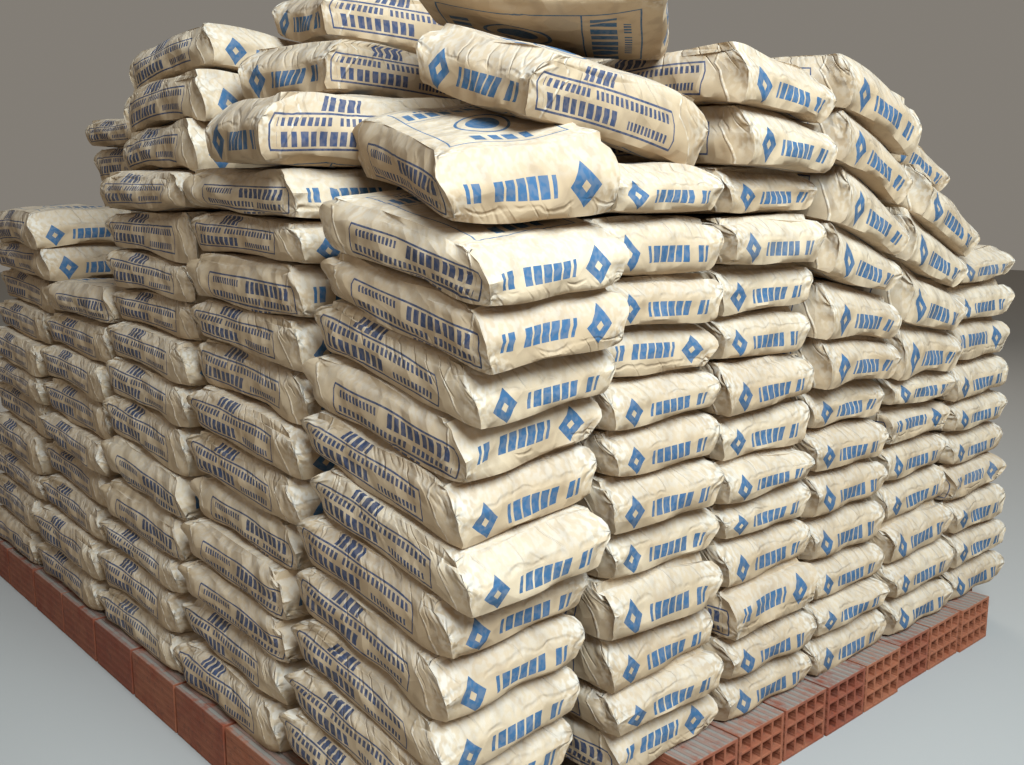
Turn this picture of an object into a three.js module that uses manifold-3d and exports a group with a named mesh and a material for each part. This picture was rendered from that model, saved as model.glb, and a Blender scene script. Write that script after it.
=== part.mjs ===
// A site stack of paper sacks, five columns long and six columns wide, standing on one
// course of hollow clay bricks. Millimetres, +Z up, with the origin in the middle of the
// underside. The short ends of the sacks face +X, the long sides face -Y, and the corner
// between those two faces is the one that sags.
import * as THREE from 'three';
import Module from 'manifold-3d';
import { mergeVertices } from 'three/addons/utils/BufferGeometryUtils.js';

const wasm = await Module();
wasm.setup();

// One filled sack, as it lies.
const SACK_LENGTH = 600;
const SACK_WIDTH = 400;
const SACK_THICK = 121;
const SACK_EDGE = 20;
const SEAM_GAP = 0.3;

// One hollow brick: four cells wide and three high, lying with its holes along X.
const BRICK_LENGTH = 300;
const BRICK_WIDTH = 200;
const BRICK_HEIGHT = 150;
const BRICK_SHELL = 10;
const BRICK_WEB = 8;
const CELLS_WIDE = 4;
const CELLS_HIGH = 3;
const JOINT_DEPTH = 6;
const BRICKS_PER_ROW = 10;
const BRICKS_UNDER_CORNER = 9;

// The footprint of the base, and where the columns of sacks stand on it.
const BASE_LENGTH = 3120;
const BASE_WIDTH = 2620;
const RIGHT = BASE_LENGTH / 2;
const FRONT = -BASE_WIDTH / 2;
const COLUMNS_X = 5;
const COLUMNS_Y = 6;
const PITCH_X = 611;
const PITCH_Y = 416;
const END_SETBACK = 55;
const INNER_SETBACK = 20;
const SIDE_SETBACK = 25;
const BATTER_LAYERS = 8;
const END_BATTER = 50;
const SIDE_BATTER = 115;
const JITTER = 16;

// Flat layers in each column: one line for each column along X, from the right end, and in it
// one number for each column along Y, from the front. The sagging corner column has none.
const HEIGHTS = [
  [0, 12, 12, 7, 7, 10],
  [12, 12, 14, 15, 11, 10],
  [12, 12, 15, 15, 13, 12],
  [9, 14, 14, 13, 12, 11],
  [10, 14, 13, 12, 11, 10],
];

// The seams between sacks show as notches in a layer's sides and grooves in its bare top.
const NOTCH_DEPTH = 34;
const NOTCH_HALF = 7;
const GROOVE_WIDTH = 14;
const GROOVE_DEPTH = 32;
const GROOVE_REACH = 2 * JITTER;

// The corner column: its sacks slope down to the right, past the end of the bricks, and each
// falls a little more than the one under it.
const CORNER_SACKS = 11;
const CORNER_RIGHT = RIGHT - 80;
const CORNER_LENGTH = 585;
const CORNER_GAP = 705;
const CORNER_BRICK_END = BRICKS_UNDER_CORNER * (BRICK_LENGTH + 10) - RIGHT;
const CORNER_FALL = 76;
const CORNER_FALL_STEP = 4.5;
const CORNER_REACH = [-20, -10, 0, 0, -6, 44, -13, -18, 14, 50, 47];

// Sacks that lie askew on top: name, centre in X and Y, then turn, roll and slope in degrees.
// Roll lifts the +Y side, slope lowers the +X end. Each comes to lie on what is under it.
const LOOSE_SACKS = [
  ['corner_sack_12', RIGHT - 370, FRONT + 400, -9, 12, 14],
  ['row_5_sack_a', RIGHT - 365, FRONT + 2004, 0, -14, 0],
  ['row_5_sack_b', RIGHT - 358, FRONT + 2004, 0, -22, 0],
  ['row_5_sack_c', RIGHT - 362, FRONT + 2004, 0, -26, 0],
  ['row_5_sack_d', RIGHT - 360, FRONT + 2070, 0, -29, 0],
  ['row_4_sack_a', RIGHT - 358, FRONT + 1588, 0, -10, 0],
  ['row_4_sack_b', RIGHT - 360, FRONT + 1584, 0, -14, 0],
  ['row_4_sack_c', RIGHT - 362, FRONT + 1584, 0, -25, 0],
  ['row_4_sack_d', RIGHT - 356, FRONT + 1607, 0, -30, 0],
  ['row_4_sack_e', RIGHT - 358, FRONT + 1600, 0, -25, 0],
  ['row_4_sack_f', RIGHT - 360, FRONT + 1626, -1, -14, 0],
  ['row_5_sack_e', RIGHT - 470, FRONT + 2056, -1, -24, 0],
  ['row_3_sack_a', RIGHT - 358, FRONT + 1177, 1, -8, 0],
  ['row_3_sack_b', RIGHT - 362, FRONT + 1163, 0, -11, 0],
  ['side_sack_a', RIGHT - 880, FRONT + 385, 82, -1, -1],
  ['side_sack_b', RIGHT - 1050, FRONT + 585, 95, 3, 2],
  ['side_sack_c', RIGHT - 1590, FRONT + 383, -4, -1, -4],
  ['side_sack_d', RIGHT - 1589, FRONT + 403, -2, -3, -3],
  ['side_sack_e', RIGHT - 1650, FRONT + 455, -1, -5, -3],
  ['long_sack', RIGHT - 340, FRONT + 650, 92, 16, 5],
  ['top_sack_a', RIGHT - 455, FRONT + 690, 40, -14, 4],
  ['top_sack_b', RIGHT - 1180, FRONT + 759, 80, 3, 2],
  ['end_sack', RIGHT - 2802, FRONT + 312, -4, 2, 1],
];
const DROP_FROM = 24;
const DROP_STEP = 20;
const DROP_FINE = 0.05;

const PAPER = new THREE.Color(0.74, 0.64, 0.49);
const CLAY = new THREE.Color(0.6, 0.29, 0.21);

function paperMaterial() {
  return new THREE.MeshStandardMaterial({ color: PAPER, roughness: 0.82, metalness: 0 });
}

function clayMaterial() {
  return new THREE.MeshStandardMaterial({ color: CLAY, roughness: 0.9, metalness: 0 });
}

// A repeatable number from 0 to 1 for one sack and one purpose.
function wobble(i, j, layer, purpose) {
  const s = Math.sin(i * 12.9898 + j * 78.233 + layer * 37.719 + purpose * 4.581) * 43758.5453;
  return s - Math.floor(s);
}

function spread(i, j, layer, purpose) {
  return (wobble(i, j, layer, purpose) * 2 - 1) * JITTER;
}

function toSolid(geometry) {
  const bare = new THREE.BufferGeometry();
  bare.setAttribute('position', geometry.getAttribute('position').clone());
  if (geometry.index) {
    bare.setIndex(geometry.index.clone());
  }
  const merged = mergeVertices(bare, 1e-3);
  const mesh = new wasm.Mesh({
    numProp: 3,
    vertProperties: new Float32Array(merged.getAttribute('position').array),
    triVerts: new Uint32Array(merged.index.array),
  });
  return new wasm.Manifold(mesh);
}

function toGeometry(solid) {
  const mesh = solid.getMesh();
  const geometry = new THREE.BufferGeometry();
  geometry.setAttribute('position', new THREE.BufferAttribute(new Float32Array(mesh.vertProperties), 3));
  geometry.setIndex(new THREE.BufferAttribute(new Uint32Array(mesh.triVerts), 1));
  geometry.computeVertexNormals();
  return geometry;
}

function boxSolid(low, high) {
  const geometry = new THREE.BoxGeometry(high[0] - low[0], high[1] - low[1], high[2] - low[2]);
  geometry.translate((low[0] + high[0]) / 2, (low[1] + high[1]) / 2, (low[2] + high[2]) / 2);
  return toSolid(geometry);
}

// A closed shell through four stacked rings of points: bottom rim, lower side, upper side, top rim.
function ringShell(rings, capTriangles) {
  const count = rings[0].length;
  const positions = [];
  const index = [];
  rings.forEach((ring) => ring.forEach((point) => positions.push(...point)));
  for (let band = 0; band + 1 < rings.length; band += 1) {
    for (let k = 0; k < count; k += 1) {
      const a = band * count + k;
      const b = band * count + ((k + 1) % count);
      index.push(a, b, b + count);
      index.push(a, b + count, a + count);
    }
  }
  const top = (rings.length - 1) * count;
  capTriangles.forEach(([a, b, c]) => {
    index.push(c, b, a);
    index.push(top + a, top + b, top + c);
  });
  const geometry = new THREE.BufferGeometry();
  geometry.setAttribute('position', new THREE.Float32BufferAttribute(positions, 3));
  geometry.setIndex(index);
  geometry.computeVertexNormals();
  return geometry;
}

// One sack: a block with its long edges taken off. The heights under and over it may vary along X.
function sackBlock(length, width, low, high) {
  const corners = [[-1, -1], [1, -1], [1, 1], [-1, 1]];
  const ring = (inset, height) => corners.map(([sx, sy]) => {
    const x = sx * (length / 2 - inset);
    const y = sy * (width / 2 - inset);
    return [x, y, height(x)];
  });
  const rings = [
    ring(SACK_EDGE, low),
    ring(0, (x) => low(x) + SACK_EDGE),
    ring(0, (x) => high(x) - SACK_EDGE),
    ring(SACK_EDGE, high),
  ];
  return ringShell(rings, [[0, 1, 2], [0, 2, 3]]);
}

function present(i, j, layer) {
  return i >= 0 && j >= 0 && i < COLUMNS_X && j < COLUMNS_Y && HEIGHTS[i][j] > layer;
}

// How far the faces have stepped back at a layer: the stack narrows as it rises.
function batter(layer) {
  return Math.min(layer, BATTER_LAYERS) / BATTER_LAYERS;
}

// The four faces of one column's sack in one layer, with the sacks' own small shifts.
function cellFaces(i, j, layer) {
  const right = RIGHT - END_SETBACK - i * PITCH_X;
  const near = FRONT + SIDE_SETBACK + SIDE_BATTER + j * PITCH_Y;
  const besideCorner = i === 1 && j === 0;
  const endStep = i === 0 ? END_BATTER * batter(layer) : INNER_SETBACK;
  const sideStep = j === 0 ? SIDE_BATTER * (1 - batter(layer)) : 0;
  return {
    right: besideCorner ? RIGHT - CORNER_GAP : right - endStep + spread(i, j, layer, 1),
    left: right - INNER_SETBACK - SACK_LENGTH + Math.abs(spread(i, j, layer, 2)),
    near: near - sideStep + (i === 0 ? 0 : spread(i, j, layer, 3)),
    far: near + SACK_WIDTH - Math.abs(spread(i, j, layer, 4)),
  };
}

// The exposed sides of a layer in order, anticlockwise seen from above. A side has its two ends
// and its outward direction.
function exposedSides(layer) {
  const sides = new Map();
  for (let i = 0; i < COLUMNS_X; i += 1) {
    for (let j = 0; j < COLUMNS_Y; j += 1) {
      if (!present(i, j, layer)) {
        continue;
      }
      const f = cellFaces(i, j, layer);
      // Grid corners run against X, so corner (i, j) is the near right corner of column (i, j).
      if (!present(i - 1, j, layer)) {
        addSide(sides, [i, j], [i, j + 1], [1, 0], f);
      }
      if (!present(i, j + 1, layer)) {
        addSide(sides, [i, j + 1], [i + 1, j + 1], [0, 1], f);
      }
      if (!present(i + 1, j, layer)) {
        addSide(sides, [i + 1, j + 1], [i + 1, j], [-1, 0], f);
      }
      if (!present(i, j - 1, layer)) {
        addSide(sides, [i + 1, j], [i, j], [0, -1], f);
      }
    }
  }
  const first = sides.keys().next().value;
  const ordered = [];
  let key = first;
  do {
    const side = sides.get(key);
    ordered.push(side);
    key = side.to.join();
  } while (key !== first);
  return ordered;
}

function addSide(sides, from, to, out, faces) {
  sides.set(from.join(), { from, to, out, faces });
}

// Where a grid corner lies in plan, between the columns.
function gridPoint([i, j]) {
  return [
    RIGHT - END_SETBACK - INNER_SETBACK - i * PITCH_X + (PITCH_X - SACK_LENGTH) / 2,
    FRONT + SIDE_SETBACK + SIDE_BATTER + j * PITCH_Y - (PITCH_Y - SACK_WIDTH) / 2,
  ];
}

// The two ends of an exposed side, drawn in from the sack's own faces by the inset.
function sideEnds(side, inset) {
  const { out, faces } = side;
  const trim = NOTCH_HALF + inset;
  const [lowX, highX] = [faces.left + trim, faces.right - trim];
  const [lowY, highY] = [faces.near + trim, faces.far - trim];
  if (out[0] === 1) {
    return [[faces.right - inset, lowY], [faces.right - inset, highY]];
  }
  if (out[0] === -1) {
    return [[faces.left + inset, highY], [faces.left + inset, lowY]];
  }
  if (out[1] === 1) {
    return [[highX, faces.far - inset], [lowX, faces.far - inset]];
  }
  return [[lowX, faces.near + inset], [highX, faces.near + inset]];
}

// The outline of one layer. Between two sides that meet in line or in a hollow corner it dips
// into a notch, and at an outer corner the two ends are joined straight.
function layerOutline(sides, inset) {
  const points = [];
  sides.forEach((side, k) => {
    const next = sides[(k + 1) % sides.length];
    points.push(...sideEnds(side, inset));
    const turn = side.out[0] * next.out[1] - side.out[1] * next.out[0];
    if (turn <= 0) {
      points.push(notchTip(side, next, turn === 0));
    }
  });
  return points;
}

// The bottom of a notch: in from the face between two sides in line, or in from a hollow corner.
function notchTip(side, next, inLine) {
  const corner = gridPoint(side.to);
  const start = inLine ? faceMiddle(side, next, corner) : corner;
  const outX = inLine ? side.out[0] : side.out[0] + next.out[0];
  const outY = inLine ? side.out[1] : side.out[1] + next.out[1];
  return [start[0] - outX * NOTCH_DEPTH, start[1] - outY * NOTCH_DEPTH];
}

// The point between two neighbouring faces, at the deeper of the two.
function faceMiddle(side, next, corner) {
  const [a, b] = [side.faces, next.faces];
  if (side.out[0] === 1) {
    return [Math.min(a.right, b.right), corner[1]];
  }
  if (side.out[0] === -1) {
    return [Math.max(a.left, b.left), corner[1]];
  }
  if (side.out[1] === 1) {
    return [corner[0], Math.min(a.far, b.far)];
  }
  return [corner[0], Math.max(a.near, b.near)];
}

function layerGeometry(layer) {
  const sides = exposedSides(layer);
  const low = BRICK_HEIGHT + SEAM_GAP + layer * SACK_THICK;
  const high = low + SACK_THICK - SEAM_GAP;
  const rim = layerOutline(sides, SACK_EDGE);
  const face = layerOutline(sides, 0);
  const at = (points, z) => points.map(([x, y]) => [x, y, z]);
  const caps = THREE.ShapeUtils.triangulateShape(rim.map(([x, y]) => new THREE.Vector2(x, y)), []);
  const shell = ringShell(
    [at(rim, low), at(face, low + SACK_EDGE), at(face, high - SACK_EDGE), at(rim, high)],
    caps,
  );
  const grooves = topGrooves(layer, high);
  if (grooves.length === 0) {
    return shell;
  }
  let solid = toSolid(shell);
  grooves.forEach((groove) => {
    solid = solid.subtract(groove);
  });
  return toGeometry(solid);
}

// Grooves between neighbouring sacks, where at least one of the two has nothing on it.
function topGrooves(layer, top) {
  const grooves = [];
  for (let i = 0; i < COLUMNS_X; i += 1) {
    for (let j = 0; j < COLUMNS_Y; j += 1) {
      if (!present(i, j, layer)) {
        continue;
      }
      const corner = gridPoint([i, j]);
      const half = GROOVE_WIDTH / 2;
      const bare = !present(i, j, layer + 1);
      if (present(i - 1, j, layer) && (bare || !present(i - 1, j, layer + 1))) {
        grooves.push(boxSolid(
          [corner[0] - half, corner[1] - GROOVE_REACH, top - GROOVE_DEPTH],
          [corner[0] + half, corner[1] + PITCH_Y + GROOVE_REACH, top + 1],
        ));
      }
      if (present(i, j - 1, layer) && (bare || !present(i, j - 1, layer + 1))) {
        grooves.push(boxSolid(
          [corner[0] - PITCH_X - GROOVE_REACH, corner[1] - half, top - GROOVE_DEPTH],
          [corner[0] + GROOVE_REACH, corner[1] + half, top + 1],
        ));
      }
    }
  }
  return grooves;
}

// The sagging corner column: each sack slopes from its high left end to its low right end.
function cornerSack(n) {
  const right = CORNER_RIGHT + CORNER_REACH[n];
  const centre = right - CORNER_LENGTH / 2;
  const near = FRONT + SIDE_SETBACK + SIDE_BATTER * batter(n);
  const share = (x) => (x - CORNER_RIGHT + CORNER_LENGTH) / CORNER_LENGTH;
  const firstHigh = BRICK_HEIGHT + SEAM_GAP + CORNER_FALL * share(CORNER_BRICK_END);
  const level = (count) => {
    const high = firstHigh + (SACK_THICK + CORNER_FALL_STEP) * count;
    const fall = CORNER_FALL + CORNER_FALL_STEP * count;
    return (x) => high - fall * share(centre + x);
  };
  const over = level(n + 1);
  const geometry = sackBlock(CORNER_LENGTH, SACK_WIDTH, level(n), (x) => over(x) - SEAM_GAP);
  geometry.translate(centre, near + SACK_WIDTH / 2, 0);
  return geometry;
}

function looseSackGeometry() {
  const half = SACK_THICK / 2;
  return sackBlock(SACK_LENGTH, SACK_WIDTH, () => -half, () => half);
}

// Lowers a turned sack until it just clears everything under it.
function settle(matrix, supports) {
  const solid = toSolid(looseSackGeometry()).transform(matrix.toArray());
  const meets = (z) => {
    const placed = solid.translate([0, 0, z]);
    return supports.some((support) => placed.intersect(support).volume() > 0);
  };
  let high = BRICK_HEIGHT + SACK_THICK * DROP_FROM;
  while (!meets(high - DROP_STEP)) {
    high -= DROP_STEP;
  }
  let low = high - DROP_STEP;
  while (high - low > DROP_FINE) {
    const middle = (low + high) / 2;
    if (meets(middle)) {
      low = middle;
    } else {
      high = middle;
    }
  }
  const rest = high + SEAM_GAP;
  return { rest, solid: solid.translate([0, 0, rest]) };
}

// A row of bricks laid end to end, as one piece with its holes right through.
function brickRowGeometry(length, bricks, jointed) {
  const cellWide = (BRICK_WIDTH - 2 * BRICK_SHELL - (CELLS_WIDE - 1) * BRICK_WEB) / CELLS_WIDE;
  const cellHigh = (BRICK_HEIGHT - 2 * BRICK_SHELL - (CELLS_HIGH - 1) * BRICK_WEB) / CELLS_HIGH;
  let solid = boxSolid([0, 0, 0], [length, BRICK_WIDTH, BRICK_HEIGHT]);
  for (let a = 0; a < CELLS_WIDE; a += 1) {
    for (let b = 0; b < CELLS_HIGH; b += 1) {
      const y = BRICK_SHELL + a * (cellWide + BRICK_WEB);
      const z = BRICK_SHELL + b * (cellHigh + BRICK_WEB);
      solid = solid.subtract(boxSolid([-1, y, z], [length + 1, y + cellWide, z + cellHigh]));
    }
  }
  if (!jointed) {
    return toGeometry(solid);
  }
  const gap = (length - bricks * BRICK_LENGTH) / (bricks - 1);
  for (let k = 1; k < bricks; k += 1) {
    const start = k * (BRICK_LENGTH + gap) - gap;
    const outer = boxSolid([start, -1, -1], [start + gap, BRICK_WIDTH + 1, BRICK_HEIGHT + 1]);
    const inner = boxSolid(
      [start - 1, JOINT_DEPTH, JOINT_DEPTH],
      [start + gap + 1, BRICK_WIDTH - JOINT_DEPTH, BRICK_HEIGHT - JOINT_DEPTH],
    );
    solid = solid.subtract(outer.subtract(inner));
  }
  return toGeometry(solid);
}

// The rows of the base: where each starts in Y, how far its right end is set back, and whether
// it is an outer row, whose joints show. The rows under the corner column are short.
function brickRows() {
  const pitch = BRICK_WIDTH + 7;
  const corner = RIGHT - CORNER_BRICK_END;
  const rows = [
    { y: 0, setback: corner, bricks: BRICKS_UNDER_CORNER, outer: true },
    { y: 382, setback: corner, bricks: BRICKS_UNDER_CORNER, outer: false },
  ];
  for (let k = 0; k < 8; k += 1) {
    const setback = k === 4 ? 0 : Math.round(10 * wobble(k, 3, 1, 5));
    rows.push({ y: 764 + k * pitch, setback, bricks: BRICKS_PER_ROW, outer: false });
  }
  rows.push({ y: BASE_WIDTH - BRICK_WIDTH, setback: 150, bricks: BRICKS_UNDER_CORNER, outer: true });
  return rows;
}

function addMesh(group, name, geometry, material) {
  const mesh = new THREE.Mesh(geometry, material);
  mesh.name = name;
  group.add(mesh);
  return mesh;
}

function twoDigits(n) {
  return String(n).padStart(2, '0');
}

const stack = new THREE.Group();
const supports = [];

brickRows().forEach(({ y, setback, bricks, outer }, k) => {
  const geometry = brickRowGeometry(BASE_LENGTH - setback, bricks, outer);
  const mesh = addMesh(stack, `brick_row_${twoDigits(k + 1)}`, geometry, clayMaterial());
  mesh.position.set(-BASE_LENGTH / 2, FRONT + y, 0);
});

const layers = Math.max(...HEIGHTS.flat());
for (let layer = 0; layer < layers; layer += 1) {
  const geometry = layerGeometry(layer);
  addMesh(stack, `sack_layer_${twoDigits(layer + 1)}`, geometry, paperMaterial());
  supports.push(toSolid(geometry));
}

for (let n = 0; n < CORNER_SACKS; n += 1) {
  const geometry = cornerSack(n);
  addMesh(stack, `corner_sack_${twoDigits(n + 1)}`, geometry, paperMaterial());
  supports.push(toSolid(geometry));
}

LOOSE_SACKS.forEach(([name, x, y, turn, roll, slope]) => {
  const angles = [roll, slope, turn].map(THREE.MathUtils.degToRad);
  const mesh = addMesh(stack, name, looseSackGeometry(), paperMaterial());
  mesh.rotation.set(angles[0], angles[1], angles[2], 'ZYX');
  mesh.position.set(x, y, 0);
  mesh.updateMatrix();
  const { rest, solid } = settle(mesh.matrix, supports);
  mesh.position.z = rest;
  supports.push(solid);
});

export default stack;
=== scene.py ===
# %% [markdown]
# # A stack of filled paper sacks on a course of hollow bricks
# The object is a site stack: paper sacks of powder, laid flat in columns, on one course of hollow
# clay bricks. The frame holds a plain solid for each layer of sacks, each sack of the sagging
# corner, each askew sack and each row of bricks. This lesson models one brick and six sacks, copies
# them into place, and gives them paper and clay made from nodes.

import math

import bpy
import numpy as np
from mathutils import Euler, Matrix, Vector
from mathutils.bvhtree import BVHTree


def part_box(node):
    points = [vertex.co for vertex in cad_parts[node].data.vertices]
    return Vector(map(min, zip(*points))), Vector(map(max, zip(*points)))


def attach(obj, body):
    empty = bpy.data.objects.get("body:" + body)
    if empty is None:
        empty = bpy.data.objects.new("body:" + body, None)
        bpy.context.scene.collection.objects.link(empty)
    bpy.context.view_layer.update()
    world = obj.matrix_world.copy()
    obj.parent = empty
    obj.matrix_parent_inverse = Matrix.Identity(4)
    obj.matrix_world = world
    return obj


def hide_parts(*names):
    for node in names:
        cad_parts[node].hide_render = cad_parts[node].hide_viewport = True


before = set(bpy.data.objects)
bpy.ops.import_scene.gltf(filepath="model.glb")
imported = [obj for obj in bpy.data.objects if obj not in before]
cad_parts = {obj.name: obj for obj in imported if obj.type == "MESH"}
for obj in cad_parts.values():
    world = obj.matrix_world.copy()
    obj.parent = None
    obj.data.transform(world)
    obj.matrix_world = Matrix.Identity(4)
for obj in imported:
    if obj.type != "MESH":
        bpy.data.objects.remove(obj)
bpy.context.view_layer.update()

# %% [markdown]
# ## Small helpers
# An operator works on what is selected, and the frame's nodes come in selected. So each step first
# clears the selection, and then selects the one thing that it is about. Points are moved in bulk,
# as one array, because there are hundreds of thousands of them.

# %% Selecting, and moving points in bulk
def clear_selection():
    for thing in bpy.context.selected_objects:
        thing.select_set(False)


def pick(thing):
    clear_selection()
    thing.select_set(True)
    bpy.context.view_layer.objects.active = thing


def points_of(thing):
    flat = np.empty(len(thing.data.vertices) * 3, np.float32)
    thing.data.vertices.foreach_get("co", flat)
    return flat.reshape(-1, 3).astype(float)


def put_points(thing, points):
    thing.data.vertices.foreach_set("co", np.asarray(points, np.float32).ravel())
    thing.data.update()


def copy_of(thing, name):
    twin = thing.copy()
    twin.data = thing.data.copy()
    twin.name = name
    bpy.context.scene.collection.objects.link(twin)
    return twin


def join_as(name, parts):
    clear_selection()
    for part in parts:
        part.select_set(True)
    bpy.context.view_layer.objects.active = parts[0]
    bpy.ops.object.join()
    whole = bpy.context.object
    whole.name = name
    whole.data.name = name
    return whole


def cut_across(positions, axis):
    normal = [0, 0, 0]
    normal[axis] = 1
    for position in positions:
        place = [0, 0, 0]
        place[axis] = position
        bpy.ops.mesh.select_all(action="SELECT")
        bpy.ops.mesh.bisect(plane_co=place, plane_no=normal)


# %% [markdown]
# ## Where things lie
# The stack has five columns of sacks along X and six along Y. Each sack is a little out of line
# with its neighbours. Random numbers would differ from the frame's solids, so one formula gives a
# number for each sack and purpose, as it did there, and finds the same four faces again. Each
# purpose has a number of its own, here called a draw.

# %% The grid of columns
SACK_LENGTH, SACK_WIDTH, SACK_THICK = 0.600, 0.400, 0.121
BRICK_HEIGHT = 0.150
SEAM = 0.0003
RIGHT, FRONT = 1.560, -1.310
PITCH_X, PITCH_Y = 0.611, 0.416
END_SETBACK, INNER_SETBACK, SIDE_SETBACK = 0.055, 0.020, 0.025
BATTER_LAYERS, END_BATTER, SIDE_BATTER = 8, 0.050, 0.115
JITTER = 0.016
CORNER_GAP = 0.705
HEIGHTS = [
    [0, 12, 12, 7, 7, 10],
    [12, 12, 14, 15, 11, 10],
    [12, 12, 15, 15, 13, 12],
    [9, 14, 14, 13, 12, 11],
    [10, 14, 13, 12, 11, 10],
]
LAYERS = max(max(line) for line in HEIGHTS)
print("sacks in the grid", sum(map(sum, HEIGHTS)), "in", LAYERS, "layers")

# %% Repeatable numbers
WOBBLE_FACTORS, WOBBLE_SCALE = (12.9898, 78.233, 37.719, 4.581), 43758.5453
RIGHT_DRAW, LEFT_DRAW, NEAR_DRAW, FAR_DRAW = 1, 2, 3, 4
SETTLE_DRAW, SHAPE_DRAW, REVERSED_DRAW, TURN_DRAW, UPSIDE_DOWN_DRAW = 7, 8, 9, 10, 11
LOOK_DRAWS = (12, 13, 14)
TILT_X_DRAW, TILT_Y_DRAW, OUT_X_DRAW, OUT_Y_DRAW = 15, 16, 17, 18


def wobble(i, j, layer, draw):
    a, b, c, d = WOBBLE_FACTORS
    s = math.sin(i * a + j * b + layer * c + draw * d) * WOBBLE_SCALE
    return s - math.floor(s)


def spread(i, j, layer, draw):
    return (wobble(i, j, layer, draw) * 2 - 1) * JITTER


# %% The four faces of each sack's place
def present(i, j, layer):
    inside = 0 <= i < len(HEIGHTS) and 0 <= j < len(HEIGHTS[0])
    return inside and HEIGHTS[i][j] > layer


def batter(layer):
    return min(layer, BATTER_LAYERS) / BATTER_LAYERS


def cell_faces(i, j, layer):
    right = RIGHT - END_SETBACK - i * PITCH_X
    near = FRONT + SIDE_SETBACK + SIDE_BATTER + j * PITCH_Y
    end_step = END_BATTER * batter(layer) if i == 0 else INNER_SETBACK
    side_step = SIDE_BATTER * (1 - batter(layer)) if j == 0 else 0
    beside_corner = (i, j) == (1, 0)
    return (
        RIGHT - CORNER_GAP if beside_corner else right - end_step + spread(i, j, layer, RIGHT_DRAW),
        right - INNER_SETBACK - SACK_LENGTH + abs(spread(i, j, layer, LEFT_DRAW)),
        near - side_step + (0 if i == 0 else spread(i, j, layer, NEAR_DRAW)),
        near + SACK_WIDTH - abs(spread(i, j, layer, FAR_DRAW)),
    )


print("first sack's faces", [round(face, 3) for face in cell_faces(0, 1, 0)])

# %% [markdown]
# ## One sack, before it is filled
# A block-bottom paper sack lies like a firm pillow. Its ends and sides stand upright below a ridge
# at about half height, and above the ridge the paper slopes in to the seam with the next sack. A
# rounded cube wouldn't show this. So the sack starts as a cube that is bisected into a net of small
# squares, because the simulation needs a fine even net, and then each level of the net is drawn in
# to the sack's profile.

# %% Cut a block into a net and draw in its levels
NET = 0.0135
LEVELS = [0, 0.09, 0.19, 0.30, 0.41, 0.52, 0.62, 0.72, 0.82, 0.91, 1]
END_PROFILE = ([0, 0.09, 0.22, 0.52, 0.60, 0.80, 1], [0.014, 0.004, 0.0, 0.0, 0.006, 0.030, 0.062])
SIDE_PROFILE = ([0, 0.09, 0.25, 0.50, 0.60, 0.80, 1], [0.014, 0.005, 0.0, 0.0, 0.003, 0.012, 0.028])
EAR_PROFILE = ([0, 0.15, 0.40, 0.62, 0.74, 0.88, 1], [0.014, 0.008, 0.003, 0.0, 0.0, 0.004, 0.010])
EAR_REACH = 0.085
TUCK, TUCK_HEIGHT, TUCK_REACH = 0.006, 0.55, 0.07


def block_net(name):
    clear_selection()
    bpy.ops.mesh.primitive_cube_add(size=1)
    block = bpy.context.object
    block.name = name
    block.scale = (SACK_LENGTH, SACK_WIDTH, SACK_THICK)
    bpy.ops.object.transform_apply(location=False, rotation=False, scale=True)
    bpy.ops.object.mode_set(mode="EDIT")
    for axis, size in ((0, SACK_LENGTH), (1, SACK_WIDTH)):
        count = round(size / NET)
        cut_across([size * (k / count - 0.5) for k in range(1, count)], axis)
    cut_across([SACK_THICK * (level - 0.5) for level in LEVELS[1:-1]], 2)
    bpy.ops.object.mode_set(mode="OBJECT")
    return block


def fade(value, start, end):
    share = np.clip((value - start) / (end - start), 0, 1)
    return share * share * (3 - 2 * share)


def draw_in(points):
    shaped = points.copy()
    level = points[:, 2] / SACK_THICK + 0.5
    to_end = SACK_LENGTH / 2 - np.abs(points[:, 0])
    to_side = SACK_WIDTH / 2 - np.abs(points[:, 1])
    ear = 1 - fade(to_end, 0, EAR_REACH)
    side = np.interp(level, *SIDE_PROFILE) * (1 - ear) + np.interp(level, *EAR_PROFILE) * ear
    end = np.interp(level, *END_PROFILE)
    tuck = TUCK * (1 - fade(level, 0, TUCK_HEIGHT)) * (1 - fade(to_side, 0, TUCK_REACH))
    shaped[:, 0] *= 1 - (end + tuck) / (SACK_LENGTH / 2)
    shaped[:, 1] *= 1 - side / (SACK_WIDTH / 2)
    return shaped


flat_sack = block_net("flat_sack")
NET_POINTS = points_of(flat_sack)
put_points(flat_sack, draw_in(NET_POINTS))
print("net of one sack", len(NET_POINTS), "points")

# %% [markdown]
# ## Where the print goes
# The print follows the paper, and the sack could be unwrapped for it as any model is. But the net
# already knows each face's place on the sack: which of the six panels it is on, and how far along
# and up it lies, in metres. Both go in one UV map. The whole part of U is the panel, and the rest
# is the place.

# %% Write the print map
PANELS = {"top": 0, "bottom": 1, "right": 2, "left": 3, "near": 4, "far": 5}
PRINT_MAP = "sack_print"


def panel_of(normal):
    axis = int(np.argmax(np.abs(normal)))
    names = (("left", "right"), ("near", "far"), ("bottom", "top"))[axis]
    return names[int(normal[axis] > 0)]


def place_on_panel(panel, point):
    along = point[0] + SACK_LENGTH / 2
    across = point[1] + SACK_WIDTH / 2
    up = point[2] + SACK_THICK / 2
    if panel in ("right", "left"):
        return (across if panel == "right" else SACK_WIDTH - across), up
    if panel in ("near", "far"):
        return (along if panel == "near" else SACK_LENGTH - along), up
    return along, across


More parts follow.
